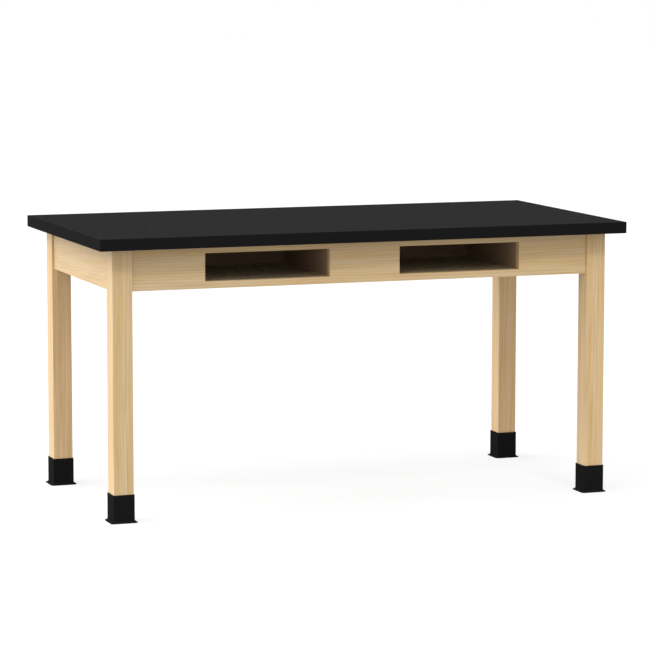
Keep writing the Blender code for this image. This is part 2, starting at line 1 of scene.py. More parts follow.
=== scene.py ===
"""A science lab table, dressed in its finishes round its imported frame.

Metres, +Z up, the front faces -Y. The sections follow the table as it is put together: legs,
aprons, book compartments, corner brackets and their fasteners, the top with its clips and the
screws up into it, the glides and the boots, and last the floor, the light and the camera.
"""

import math

import bmesh
import bpy
from mathutils import Matrix, Vector


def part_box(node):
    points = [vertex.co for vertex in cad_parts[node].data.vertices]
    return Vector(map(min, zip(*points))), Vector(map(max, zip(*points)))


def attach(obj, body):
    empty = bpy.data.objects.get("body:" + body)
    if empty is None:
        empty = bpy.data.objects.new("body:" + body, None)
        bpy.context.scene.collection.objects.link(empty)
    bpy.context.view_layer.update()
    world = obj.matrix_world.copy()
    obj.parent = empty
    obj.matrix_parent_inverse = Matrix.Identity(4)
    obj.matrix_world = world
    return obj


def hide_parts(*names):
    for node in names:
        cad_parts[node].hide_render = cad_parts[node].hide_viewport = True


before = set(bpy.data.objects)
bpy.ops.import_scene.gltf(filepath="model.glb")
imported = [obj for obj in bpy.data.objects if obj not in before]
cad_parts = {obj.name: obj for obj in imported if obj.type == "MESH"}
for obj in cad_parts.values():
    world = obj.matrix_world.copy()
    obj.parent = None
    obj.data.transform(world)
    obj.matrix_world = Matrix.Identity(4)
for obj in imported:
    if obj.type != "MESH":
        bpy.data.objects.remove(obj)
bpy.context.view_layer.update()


# Legs
# Four square posts of hard maple, sawn and planed from solid stock, edges eased and coated with
# a clear satin lacquer. They are named here in turn round the table, a quarter turn apart.

CORNERS = ("front_left", "front_right", "back_right", "back_left")
MAPLE_PALE = "#E1C79E"
MAPLE_WARM = "#E7C99E"
# A rosier, paler maple tone, painted light on the posts that stand in the top's shadow
MAPLE_ROSY_PAINTED_LIGHT = "#EFCC9F"
MAPLE_LATE = "#C69F69"
MAPLE_GOLD = "#DEBC86"
MAPLE_GOLDEN = 0.8
MAPLE_IOR = 1.5
MAPLE_GLOSS = 0.25
WAVE_PERIOD = math.pi / 10       # a wave texture of scale 1 comes round after so many metres
NOISE_MIDDLE = (0.5, 0.5, 0.5)
WHOLE = (0, 1)                   # the range that a texture's values lie in
WANDERS_PER_METRE = 11           # 90 mm
BROAD_STREAKS_PER_METRE = 42     # 24 mm
STREAKS_PER_METRE = 150          # 7 mm
FIBRES_PER_METRE = 1100          # 0.9 mm, ten times as coarse as real ones, so that they show
WANDER_STRETCH = (1, 1, 0.12)
FIBRE_STRETCH = (1, 1, 0.035)
RING_WANDER = 0.022
LATE_WOOD_POWER = 3.5
RING_SHARE = 0.75
STREAK_SHARE = 0.34
FIBRE_SHARE = 0.3


def linear(hex_colour):
    """An sRGB hex colour as linear red, green, blue and alpha."""
    channels = [int(hex_colour[at:at + 2], 16) / 255 for at in (1, 3, 5)]
    return (*[c / 12.92 if c <= 0.04045 else ((c + 0.055) / 1.055) ** 2.4 for c in channels], 1.0)


def link(tree, source, socket):
    """Link an output, or the first output of a node that is in use, to a socket."""
    if isinstance(source, bpy.types.Node):
        source = next(output for output in source.outputs if output.enabled)
    tree.links.new(source, socket)


def add_node(tree, kind, settings=None, links=None):
    """Add a shader node, set its properties and sockets, and link its sockets to others."""
    node = tree.nodes.new("ShaderNode" + kind)
    for key, value in (settings or {}).items():
        if key in node.bl_rna.properties:
            setattr(node, key, value)
    sockets = {socket.identifier: socket for socket in node.inputs}
    for key, value in (settings or {}).items():
        if key not in node.bl_rna.properties:
            sockets[key].default_value = value
    for key, source in (links or {}).items():
        link(tree, source, sockets[key])
    return node


def stretch(tree, spot, factors):
    """Coordinates multiplied along each axis: less than 1 draws a texture out."""
    return add_node(tree, "VectorMath", {"operation": "MULTIPLY", "Vector_001": factors}, {"Vector": spot})


def noise(tree, spot, per_metre, detail, roughness=0.5, distortion=0):
    """Noise over the coordinates: so many features to a metre, and finer ones by its detail."""
    return add_node(tree, "TexNoise", {"Scale": per_metre, "Detail": detail, "Roughness": roughness,
                                       "Distortion": distortion}, {"Vector": spot})


def remap(tree, value, given, wanted):
    """A value taken from a given range, and held to its ends, to a wanted range."""
    return add_node(tree, "MapRange", {"From Min": given[0], "From Max": given[1], "To Min": wanted[0],
                                       "To Max": wanted[1]}, {"Value": value})


def mix(tree, first, second, share):
    """Two colours mixed, with a share of the second."""
    colours = {"A_Color": linear(first), "B_Color": linear(second)}
    return add_node(tree, "Mix", {"data_type": "RGBA", **colours}, {"Factor_Float": share})


def new_finish(name, settings):
    """A material whose shader has these settings, with its node tree, its shader and the piece's
    own coordinates to build on."""
    material = bpy.data.materials.new(name)
    material.use_nodes = True
    tree = material.node_tree
    shader = tree.nodes["Principled BSDF"]
    for key, value in settings.items():
        shader.inputs[key].default_value = value
    return material, tree, shader, add_node(tree, "TexCoord").outputs["Object"]


def coat(tree, shader, colour, roughness, height, strength, depth):
    """Lead a finish's colour, roughness and relief, of some strength and depth, to its shader."""
    relief = add_node(tree, "Bump", {"Strength": strength, "Distance": depth}, {"Height": height})
    for name, source in (("Base Color", colour), ("Roughness", roughness), ("Normal", relief)):
        link(tree, source, shader.inputs[name])


def maple(name, heart, turn, ring_width, pale=MAPLE_PALE):
    """Clear-coated hard maple: pale cream, close rings in faint tan lines, silky fibre, satin
    lacquer. The rings lie round a heart line through a point, and turn takes +Z to that line."""
    material, tree, shader, spot = new_finish(name, {"IOR": MAPLE_IOR, "Specular IOR Level": MAPLE_GLOSS})
    log = add_node(tree, "Mapping", {"vector_type": "TEXTURE", "Location": heart, "Rotation": turn},
                   {"Vector": spot})
    # The log grew unevenly: the rings wander by some millimetres over a hand's width
    slow = stretch(tree, log, WANDER_STRETCH)
    wander = noise(tree, slow, WANDERS_PER_METRE, detail=1)
    centred = add_node(tree, "VectorMath", {"operation": "SUBTRACT", "Vector_001": NOISE_MIDDLE},
                       {"Vector": wander.outputs["Color"]})
    shift = add_node(tree, "VectorMath", {"operation": "SCALE", "Scale": RING_WANDER}, {"Vector": centred})
    grown = add_node(tree, "VectorMath", {"operation": "ADD"}, {"Vector": log, "Vector_001": shift})
    rings = add_node(tree, "TexWave", {"wave_type": "RINGS", "rings_direction": "Z", "wave_profile": "SAW",
                                       "Scale": WAVE_PERIOD / ring_width, "Distortion": 0},
                     {"Vector": grown})
    late = add_node(tree, "Math", {"operation": "POWER", "Value_001": LATE_WOOD_POWER},
                    {"Value": rings.outputs["Fac"]})
    # Streaks as broad as a ring and long as a hand, broader ones, and fibres under a millimetre broad
    long_way = stretch(tree, grown, FIBRE_STRETCH)
    streaks = noise(tree, long_way, STREAKS_PER_METRE, detail=2)
    broad = noise(tree, long_way, BROAD_STREAKS_PER_METRE, detail=1)
    fibres = noise(tree, long_way, FIBRES_PER_METRE, detail=2)
    ring_share = add_node(tree, "Math", {"operation": "MULTIPLY"}, {"Value": late, "Value_001": streaks})
    streak_share = remap(tree, streaks, (0.42, 0.75), (0, STREAK_SHARE))
    fibre_share = remap(tree, fibres, (0.5, 0.8), (0, FIBRE_SHARE))
    lined = add_node(tree, "Math", {"operation": "MULTIPLY_ADD", "Value_001": RING_SHARE},
                     {"Value": ring_share, "Value_002": streak_share})
    dark = add_node(tree, "Math", {"operation": "ADD", "use_clamp": True},
                    {"Value": lined, "Value_001": fibre_share})
    hue = remap(tree, broad, (0.36, 0.64), (0, MAPLE_GOLDEN))
    ground = mix(tree, pale, MAPLE_GOLD, hue)
    grain = add_node(tree, "Mix", {"data_type": "RGBA", "B_Color": linear(MAPLE_LATE)},
                     {"A_Color": ground, "Factor_Float": dark})
    sheen = remap(tree, fibres, WHOLE, (0.36, 0.5))
    coat(tree, shader, grain, sheen, fibres, strength=0.25, depth=0.00005)
    return material


def dress(node, material):
    """Give a node of the frame its finish."""
    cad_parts[node].material_slots[0].material = material


# Each post comes from its own part of the log, with its grain upright and the heart beside it. The two back
# posts, which stand in the top's shadow, take the rosier, paler tone as painted light
POST_LEAN = (0.004, 0.006, 0)
POST_HEARTS = ((0.052, 0.034), (-0.030, 0.060), (-0.047, -0.041), (0.038, -0.055))
POST_RINGS = (0.0058, 0.0049, 0.0062, 0.0053)
POST_TONES = (MAPLE_PALE, MAPLE_WARM, MAPLE_ROSY_PAINTED_LIGHT, MAPLE_ROSY_PAINTED_LIGHT)

for corner, heart, ring_width, tone in zip(CORNERS, POST_HEARTS, POST_RINGS, POST_TONES):
    low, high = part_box("leg_" + corner)
    middle = (low + high) / 2
    through = (middle.x + heart[0], middle.y + heart[1], middle.z)
    dress("leg_" + corner, maple("maple_post_" + corner, through, POST_LEAN, ring_width, pale=tone))


# Aprons
# Four maple boards between the legs, flat-sawn and laid with the grain level. The front one has
# the two book mouths sawn through it; all four are kerfed and grooved on the inside.

QUARTER = math.pi / 2
APRON_RINGS = 0.0072
# A deeper maple tone, painted shade on the board that faces the broad left light
MAPLE_DEEP_PAINTED_SHADE = "#DEC298"

# How far each board's heart line lies from its middle, which way it runs, and its tone: the left board, which
# faces the broad left light, takes the deeper tone as painted shade
for name, across, turn, tone in (
    ("apron_front", (0, 0.04, -0.13), (0.003, QUARTER, 0), MAPLE_PALE),
    ("apron_back", (0, -0.07, 0.06), (-0.01, QUARTER, 0.01), MAPLE_PALE),
    ("apron_left", (0.05, 0, -0.1), (QUARTER - 0.065, 0, 0.03), MAPLE_DEEP_PAINTED_SHADE),
    ("apron_right", (-0.08, 0, 0.02), (-QUARTER, 0.03, -0.02), MAPLE_PALE),
):
    low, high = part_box(name)
    dress(name, maple("maple_" + name, (low + high) / 2 + Vector(across), turn, APRON_RINGS, pale=tone))


# Book compartments
# Two open boxes of birch plywood behind the mouths, their floors tongued into the backs and
# sides, each hung from maple cleats screwed up into the top.

PLY_FIGURE = "#AC8C60"
PLY_DARK = "#816648"
PLY_IOR = 1.48
PLIES = 9
PLY_STRETCH = (1, 0.16, 1)
PLY_FIGURES_PER_METRE = 13       # 77 mm
PLY_FOLD = 0.045
PLY_FIBRES_PER_METRE = 900       # 1.1 mm, coarser than real ones, so that they show
PLY_SATIN_SPREAD = 0.14
CLEAT_RINGS = 0.004


def plywood(name, node, thick_axis, veneer_and_painted_light, satin):
    """Birch-faced plywood: broad wavy peeled figure on the faces, thin plies in turn light and
    dark on the edges, under a lacquer that is more or less satin."""
    material, tree, shader, spot = new_finish(name, {"IOR": PLY_IOR})
    low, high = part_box(node)
    middle = (low + high) / 2
    turn = {"x": (0, QUARTER, 0), "y": (QUARTER, 0, 0), "z": (0, 0, 0)}[thick_axis]
    thickness = (high - low)["xyz".index(thick_axis)]
    sheet = add_node(tree, "Mapping", {"vector_type": "TEXTURE", "Location": middle, "Rotation": turn},
                     {"Vector": spot})
    # Plies: a saw-tooth wave across the thickness, cut into bands of one ply each
    lifted = add_node(tree, "VectorMath", {"operation": "ADD", "Vector_001": (0, 0, thickness / 2)},
                      {"Vector": sheet})
    stack = add_node(tree, "TexWave", {"wave_type": "BANDS", "bands_direction": "Z", "wave_profile": "SAW",
                                       "Scale": WAVE_PERIOD / (2 * thickness / PLIES), "Distortion": 0},
                     {"Vector": lifted})
    cross = add_node(tree, "Math", {"operation": "GREATER_THAN", "Value_001": 0.5},
                     {"Value": stack.outputs["Fac"]})
    # Peeled figure: slow noise stretched along the sheet, folded into wavy lines
    along = stretch(tree, sheet, PLY_STRETCH)
    figure = noise(tree, along, PLY_FIGURES_PER_METRE, detail=2, distortion=0.3)
    lines = add_node(tree, "Math", {"operation": "PINGPONG", "Value_001": PLY_FOLD}, {"Value": figure})
    line_share = remap(tree, lines, (0, PLY_FOLD), (0, 0.3))
    fibres = noise(tree, along, PLY_FIBRES_PER_METRE, detail=2)
    face = mix(tree, veneer_and_painted_light, PLY_FIGURE, line_share)
    banded = add_node(tree, "Mix", {"data_type": "RGBA", "B_Color": linear(PLY_DARK)},
                      {"A_Color": face, "Factor_Float": cross})
    speck = remap(tree, fibres, (0.3, 0.7), (0.9, 1.05))
    toned = add_node(tree, "VectorMath", {"operation": "SCALE"}, {"Vector": banded, "Scale": speck})
    sheen = remap(tree, fibres, WHOLE, (satin, satin + PLY_SATIN_SPREAD))
    coat(tree, shader, toned, sheen, fibres, strength=0.3, depth=0.00008)
    return material


# The sides have the plain veneer. The floors take the palest veneer as painted light, lifting their dim far
# ends, and the backs a darker veneer as painted shade; the backs are left almost without lacquer
for side in ("left", "right"):
    box_name = "compartment_" + side
    for panel, thick_axis, veneer_and_painted_light, satin in (
        ("floor", "z", "#F0DCB8", 0.3),
        ("back", "y", "#988168", 0.72),
        ("inner_side", "x", "#AD957A", 0.3),
        ("outer_side", "x", "#AD957A", 0.3),
    ):
        node = box_name + "_" + panel
        dress(node, plywood("plywood_" + side + "_" + panel, node, thick_axis, veneer_and_painted_light, satin))
    for wall, heart in (("inner", (0.03, 0, 0.02)), ("outer", (-0.02, 0, -0.035))):
        node = box_name + "_" + wall + "_cleat"
        low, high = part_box(node)
        dress(node, maple("maple_" + node, (low + high) / 2 + Vector(heart), (-QUARTER, 0, 0), CLEAT_RINGS))


# Corner brackets
# A plate of 2 mm zinc-plated steel across each inner corner, pressed with a stiffening bead in
# its web, folded back along the aprons as arms and folded again into their saw kerfs as hooks.

ZINC = "#C4C7C8"
ZINC_DULL = "#A9ADB0"
FIT_GAP = 0.0003
BRACKET_STEEL = 0.002
BRACKET_HOOK = 0.0075
BRACKET_ARM = 0.03
BRACKET_BEND = 0.0045
BEND_STEPS = 5
BEAD_RISE = 0.0025
BEAD_HALF_HEIGHT = 0.006
BEAD_HALF_LENGTH = 0.022
BEAD_RAMP = 0.004
BEAD_ROUNDING = 0.0013
BEAD_STEPS = 3
BEAD_ANGLE = math.radians(20)
BOLT_DIAMETER = 0.0079
BOLT_SPACING = 0.0445
BOLT_DRILL = 0.02
BOLT_HOLE_SIDES = 32
SCREW_HOLE = 0.0048
SCREW_SPACING = 0.0445
SCREW_DRILL = 0.01
SCREW_HOLE_SIDES = 24
ROWS = (("low", -0.5), ("high", 0.5))   # half the spacing below the middle, half above it
SHEET_EASING = 0.00025
SHEET_EASING_STEPS = 2
SHEET_ANGLE = math.radians(50)
SMOOTH_ANGLE = math.radians(35)
SEED_SIZE = 0.001
MERGE_WITHIN = 0.000001
NEAR = 0.0001
NEAR_WEB = 0.0003
ZINC_CLOUDS_PER_METRE = 90       # 11 mm
ZINC_HAIRS_PER_METRE = 2600      # 0.4 mm, coarser than real ones, so that they show
ZINC_ROLLED = (1, 1, 0.05)


def corner_place(corner):
    """Where a leg's axis meets the floor, turned so that +X +Y points under the table."""
    low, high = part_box("leg_" + CORNERS[corner])
    middle = (low + high) / 2
    spot = Matrix.Translation((middle.x, middle.y, 0))
    return spot @ Matrix.Rotation(corner * QUARTER, 4, "Z")


def draw_line(name, points):
    """Start a piece as a chain of edges through the points, and stay in edit mode."""
    bpy.ops.object.select_all(action="DESELECT")
    bpy.ops.mesh.primitive_plane_add(size=SEED_SIZE, location=points[0])
    piece = bpy.context.object
    piece.name = name
    bpy.ops.object.transform_apply()
    bpy.ops.object.mode_set(mode="EDIT")
    bpy.ops.mesh.select_mode(type="VERT")
    bpy.ops.mesh.merge(type="CENTER")
    for here, there in zip(points, points[1:]):
        step = Vector(there) - Vector(here)
        bpy.ops.mesh.extrude_vertices_move(TRANSFORM_OT_translate={"value": step})
    return piece


def pick(kind, test):
    """In edit mode, select only the vertices, edges or faces whose points all pass the test."""
    bpy.ops.mesh.select_mode(type=kind)
    bpy.ops.mesh.select_all(action="DESELECT")
    mesh = bpy.context.object.data
    work = bmesh.from_edit_mesh(mesh)
    for item in {"VERT": work.verts, "EDGE": work.edges, "FACE": work.faces}[kind]:
        points = [item.co] if kind == "VERT" else [vert.co for vert in item.verts]
        if all(test(point) for point in points):
            item.select_set(True)
    bmesh.update_edit_mesh(mesh)


def leave_edit():
    """Close the piece's seams, point its faces outwards, and shade its round faces smooth."""
    bpy.ops.mesh.select_all(action="SELECT")
    bpy.ops.mesh.remove_doubles(threshold=MERGE_WITHIN)
    bpy.ops.mesh.normals_make_consistent(inside=False)
    bpy.ops.object.mode_set(mode="OBJECT")
    bpy.ops.object.shade_smooth_by_angle(angle=SMOOTH_ANGLE)


def apply_modifier(piece, kind, **settings):
    """Add a modifier to a piece with these settings, and apply it."""
    modifier = piece.modifiers.new(kind.lower(), kind)
    for key, value in settings.items():
        setattr(modifier, key, value)
    bpy.context.view_layer.objects.active = piece
    bpy.ops.object.modifier_apply(modifier=modifier.name)


def ease_sheet(piece):
    """Take the sharpness off a sheet-metal piece's cut edges."""
    apply_modifier(piece, "BEVEL", width=SHEET_EASING, segments=SHEET_EASING_STEPS, limit_method="ANGLE",
                   angle_limit=SHEET_ANGLE)


def calm_flats(piece):
    """Shade the flats of a piece as flat, and let only its narrow bends and roundings turn."""
    apply_modifier(piece, "WEIGHTED_NORMAL", keep_sharp=True)


def combine(piece, other, operation):
    """Cut a piece by another shape, keep what they share, or join them; the other is dropped."""
    apply_modifier(piece, "BOOLEAN", operation=operation, object=other)
    bpy.data.objects.remove(other)


def drill(piece, radius, depth, spot, turn=(0, 0, 0), sides=SCREW_HOLE_SIDES):
    """Drill a round hole through a piece, centred on a spot."""
    bpy.ops.mesh.primitive_cylinder_add(vertices=sides, radius=radius, depth=depth, location=spot,
                                        rotation=turn)
    combine(piece, bpy.context.object, "DIFFERENCE")


def copy_to(pattern, name, place):
    """A copy of a piece with its own mesh, which holds its place."""
    copy = bpy.data.objects.new(name, pattern.data.copy())
    copy.data.transform(place)
    bpy.context.collection.objects.link(copy)
    return copy


def zinc_steel(name):
    """Bright zinc plating on cold-rolled steel: cool silver, softly mirror-like, with faint
    clouds where the passivated coat is duller and hairlines from the rolling."""
    material, tree, shader, spot = new_finish(name, {"Metallic": 1.0})
    clouds = noise(tree, spot, ZINC_CLOUDS_PER_METRE, detail=3)
    rolled = stretch(tree, spot, ZINC_ROLLED)
    hairs = noise(tree, rolled, ZINC_HAIRS_PER_METRE, detail=1)
    plated = mix(tree, ZINC, ZINC_DULL, clouds)
    gloss = remap(tree, clouds, (0.3, 0.7), (0.26, 0.45))
    coat(tree, shader, plated, gloss, hairs, strength=0.15, depth=0.00002)
    return material


plated_steel = zinc_steel("zinc_plated_steel")

bracket_low, bracket_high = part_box("corner_bracket_front_left")
axis = corner_place(0).translation
hook_end = bracket_low.x - axis.x
arm_line = hook_end + BRACKET_HOOK + FIT_GAP + BRACKET_STEEL / 2
arm_end = bracket_high.x - axis.x - BRACKET_STEEL / 2
arm_start = arm_end - BRACKET_ARM
bracket_middle = (bracket_low.z + bracket_high.z) / 2
diagonal = Vector((1, 1, 0)).normalized()
web_reach = (arm_start + arm_line) / math.sqrt(2)

bends = ((arm_end, arm_line), (arm_start, arm_line), (arm_line, arm_start), (arm_line, arm_end))
plan = [(arm_end, hook_end), *bends, (hook_end, arm_end)]
bracket = draw_line("bracket", [Vector((x, y, bracket_low.z)) for x, y in plan])
bpy.ops.mesh.select_all(action="SELECT")
rise = (0, 0, bracket_high.z - bracket_low.z)
bpy.ops.mesh.extrude_region_move(TRANSFORM_OT_translate={"value": rise})
# The folds: each upright edge between two flats becomes a round bend
for x, y in bends:
    pick("EDGE", lambda point: (point.xy - Vector((x, y))).length < NEAR)
    bpy.ops.mesh.bevel(offset=BRACKET_BEND / 2, segments=BEND_STEPS, affect="EDGES")
# The bead: the web is scored in a frame of lines, and what they enclose is pressed outward
scored_height = BEAD_HALF_HEIGHT + BEAD_RAMP
for level in (-scored_height, -BEAD_HALF_HEIGHT, BEAD_HALF_HEIGHT, scored_height):
    bpy.ops.mesh.select_all(action="SELECT")
    bpy.ops.mesh.bisect(plane_co=(0, 0, bracket_middle + level), plane_no=(0, 0, 1))
scored_length = BEAD_HALF_LENGTH + BEAD_RAMP
for reach in (-scored_length, -BEAD_HALF_LENGTH, BEAD_HALF_LENGTH, scored_length):
    pick("FACE", lambda point: abs(point.dot(diagonal) - web_reach) < NEAR_WEB)
    cut_at = diagonal * web_reach + Vector((reach, -reach, 0)) / math.sqrt(2)
    bpy.ops.mesh.bisect(plane_co=cut_at, plane_no=(1, -1, 0))
pick("VERT", lambda point: abs(point.z - bracket_middle) < BEAD_HALF_HEIGHT + NEAR
     and abs(point.x - point.y) < BEAD_HALF_LENGTH * math.sqrt(2) + NEAR)
bpy.ops.transform.translate(value=diagonal * BEAD_RISE)
leave_edit()
apply_modifier(bracket, "BEVEL", width=BEAD_ROUNDING, segments=BEAD_STEPS, limit_method="ANGLE",
               angle_limit=BEAD_ANGLE)
apply_modifier(bracket, "SOLIDIFY", thickness=BRACKET_STEEL, offset=0, use_even_offset=True)

arm_screw = (arm_start + arm_end) / 2
for _, step in ROWS:
    level = bracket_middle + step * BOLT_SPACING
    drill(bracket, BOLT_DIAMETER / 2 + FIT_GAP, BOLT_DRILL, diagonal * web_reach + Vector((0, 0, level)),
          (0, QUARTER, math.pi / 4), BOLT_HOLE_SIDES)
    level = bracket_middle + step * SCREW_SPACING
    drill(bracket, SCREW_HOLE / 2, SCREW_DRILL, (arm_screw, arm_line, level), (QUARTER, 0, 0))
    drill(bracket, SCREW_HOLE / 2, SCREW_DRILL, (arm_line, arm_screw, level), (0, QUARTER, 0))
ease_sheet(bracket)
calm_flats(bracket)

for corner, name in enumerate(CORNERS):
    plate = copy_to(bracket, "bracket_plate_" + name, corner_place(corner))
    plate.data.materials.append(plated_steel)
    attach(plate, "table")
    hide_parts("corner_bracket_" + name)
bpy.data.objects.remove(bracket)


# Hanger bolts
# A 5/16 inch steel bolt with two threads: the coarse one is driven into the leg's flattened
# corner, the fine one comes out through the bracket and takes a washer and a hex nut.

BRACKET_TO_LEG = 0.004
BOLT_IN_LEG = 0.034
BOLT_PAST_NUT = 0.005
BOLT_PITCH = 0.00141
BOLT_THREAD_DEPTH = 0.00086
BOLT_THREAD_IN_LEG = 0.002
BOLT_FOOT = 0.0006
BOLT_CHAMFER = 0.0008
LAG_PITCH = 0.0028
LAG_THREAD_DEPTH = 0.0011
LAG_POINT = 0.005
LAG_CHAMFER = 0.0004
NECK_LENGTH = 0.004
NECK_OVERLAP = 0.001
NECK_CHAMFER = 0.0003
THREAD_STEPS = 24
THREAD_SHAPE = ((0, 0), (0, 0.25), (1, 0.5625), (1, 0.6875), (0, 1))
THREAD_LEAD = 1.46
THREAD_SPARE = 0.2
THREAD_SPARE_TURNS = 2
THREAD_CLEARED = 1.05
POINT_BLUNT = 0.15
WASHER_RADIUS = 0.009
WASHER_THICKNESS = 0.0015
WASHER_DIE_ROLL = (0.0002, 0.0003)
WASHER_BEVEL = 0.0004
WASHER_BORE_EASING = 0.0002
NUT_FLATS = 0.0127
NUT_HEIGHT = 0.0068
HEX_CORNER = math.pi / 6
HEX_FACE = 0.95
HEX_BORE_SINK = 0.12
LATHE_STEPS = 48


def lathe(name, profile):
    """A round piece turned from its profile of distances from the axis and heights."""
    piece = draw_line(name, [Vector((reach, 0, height)) for reach, height in profile])
    bpy.ops.mesh.select_all(action="SELECT")
    bpy.ops.mesh.spin(steps=LATHE_STEPS, angle=2 * math.pi, center=(0, 0, 0), axis=(0, 0, 1))
    leave_edit()
    return piece


def rod(name, radius, low, high, tip, chamfer):
    """A turned rod: a point of length tip below, a chamfered end above."""
    return lathe(name, ((0, low), (radius * POINT_BLUNT, low), (radius, low + tip),
                        (radius, high - chamfer), (radius - chamfer, high), (0, high)))


def thread(name, radius, depth, pitch, low, high, tip, chamfer):
    """A screw thread wound up past low and high, then turned to a point below and chamfered
    above."""
    start = low - pitch * THREAD_LEAD
    piece = draw_line(name, [Vector((radius - depth * (1 - share), 0, start + pitch * turn))
                             for share, turn in THREAD_SHAPE])
    bpy.ops.object.mode_set(mode="OBJECT")
    turns = math.ceil((high - start) / pitch) + THREAD_SPARE_TURNS
    apply_modifier(piece, "SCREW", axis="Z", screw_offset=pitch, iterations=turns,
                   steps=THREAD_STEPS, render_steps=THREAD_STEPS)
    bpy.ops.object.mode_set(mode="EDIT")
    spare = pitch * THREAD_SPARE
    for level, cleared in ((low - spare, "clear_inner"), (high + spare, "clear_outer")):
        bpy.ops.mesh.select_all(action="SELECT")
        bpy.ops.mesh.remove_doubles(threshold=MERGE_WITHIN)
        bpy.ops.mesh.bisect(plane_co=(0, 0, level), plane_no=(0, 0, 1), use_fill=True,
                            **{cleared: True})
    leave_edit()
    clear = radius * THREAD_CLEARED
    combine(piece, rod("turned_ends", clear, low, high, tip, chamfer + clear - radius), "INTERSECT")
    return piece


def hex_head(name, flats, low, high, bore=0):
    """A hexagon whose corners are turned off at both ends, bored through if it is a nut."""
    bpy.ops.object.select_all(action="DESELECT")
    corner_radius = flats / 2 / math.cos(HEX_CORNER)
    bpy.ops.mesh.primitive_cylinder_add(vertices=6, radius=corner_radius, depth=high - low,
                                        location=(0, 0, (low + high) / 2))
    head = bpy.context.object
    head.name = name
    bpy.ops.object.transform_apply()
    face = flats / 2 * HEX_FACE
    slope = (corner_radius - face) * math.tan(HEX_CORNER)
    outside = [(face, low), (corner_radius, low + slope), (corner_radius, high - slope), (face, high)]
    sink = bore * HEX_BORE_SINK
    inside = [(bore + sink, high), (bore, high - sink), (bore, low + sink), (bore + sink, low)]
    profile = [*outside, *inside, outside[0]] if bore else [(0, low), *outside, (0, high)]
    combine(head, lathe("turned_corners", profile), "INTERSECT")
    return head


def join(pieces, name):
    """Join finished pieces into one object."""
    bpy.ops.object.select_all(action="DESELECT")
    for piece in pieces:
        piece.select_set(True)
    bpy.context.view_layer.objects.active = pieces[0]
    bpy.ops.object.join()
    pieces[0].name = name
    return pieces[0]


bolt_radius = BOLT_DIAMETER / 2
leg_flat = web_reach - BRACKET_STEEL / 2 - BRACKET_TO_LEG
washer_near = web_reach + BRACKET_STEEL / 2 + FIT_GAP
nut_near = washer_near + WASHER_THICKNESS
nut_far = nut_near + NUT_HEIGHT
bolt_inner = leg_flat - BOLT_IN_LEG
bolt_outer = nut_far + BOLT_PAST_NUT
lag_end = leg_flat - NECK_LENGTH
lag = thread("lag_thread", bolt_radius, LAG_THREAD_DEPTH, LAG_PITCH, bolt_inner, lag_end, LAG_POINT,
             LAG_CHAMFER)
machine = thread("machine_thread", bolt_radius, BOLT_THREAD_DEPTH, BOLT_PITCH,
                 leg_flat - BOLT_THREAD_IN_LEG, bolt_outer, BOLT_FOOT, BOLT_CHAMFER)
neck = rod("plain_neck", bolt_radius - LAG_THREAD_DEPTH / 2, lag_end - NECK_OVERLAP, leg_flat,
           NECK_CHAMFER, NECK_CHAMFER)
combine(lag, neck, "UNION")
combine(lag, machine, "UNION")
washer_hole = bolt_radius + FIT_GAP / 2
roll_breadth, roll_height = WASHER_DIE_ROLL
washer = lathe("washer", (
    (washer_hole, washer_near), (WASHER_RADIUS - roll_breadth, washer_near),
    (WASHER_RADIUS, washer_near + roll_height), (WASHER_RADIUS, nut_near - WASHER_BEVEL),
    (WASHER_RADIUS - WASHER_BEVEL, nut_near), (washer_hole + WASHER_BORE_EASING, nut_near),
    (washer_hole, nut_near - WASHER_BORE_EASING), (washer_hole, washer_near)))
nut = hex_head("nut", NUT_FLATS, nut_near, nut_far, bolt_radius + FIT_GAP / 3)
hanger_bolt = join([lag, washer, nut], "hanger_bolt")

outward = Matrix.Rotation(math.pi / 4, 4, "Z") @ Matrix.Rotation(QUARTER, 4, "Y")
for corner, name in enumerate(CORNERS):
    for level_name, step in ROWS:
        spot = Matrix.Translation((0, 0, bracket_middle + step * BOLT_SPACING))
        bolt_name = "hanger_bolt_" + name + "_" + level_name
        bolt = copy_to(hanger_bolt, "nut_and_" + bolt_name, corner_place(corner) @ spot @ outward)
        bolt.data.materials.append(plated_steel)
        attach(bolt, "table")
        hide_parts(bolt_name)
bpy.data.objects.remove(hanger_bolt)


# Bracket screws
# Four number 8 pan-head wood screws hold each bracket's arms to the aprons, plated steel with a
# cross recess, threaded almost to the head.

HEAD_RADIUS = 0.0040
HEAD_HEIGHT = 0.0025
HEAD_RIM = 0.35
HEAD_FLAT = 0.55
HEAD_ROUND = 0.45
HEAD_SEAT = 0.97
HEAD_STEPS = 6
SHANK_RADIUS = 0.0021
PLAIN_SHANK = 0.003
THREAD_START = 0.002
WOOD_PITCH = 0.0017
WOOD_THREAD_DEPTH = 0.00055
WOOD_POINT = 0.005
WOOD_CHAMFER = 0.0003
RECESS_LENGTH = 0.0044
RECESS_WIDTH = 0.0011
RECESS_DEPTH = 0.0015
RECESS_TAPER = 0.45
BRACKET_SCREW_LENGTH = 0.0159
SCREW_TURN = 67


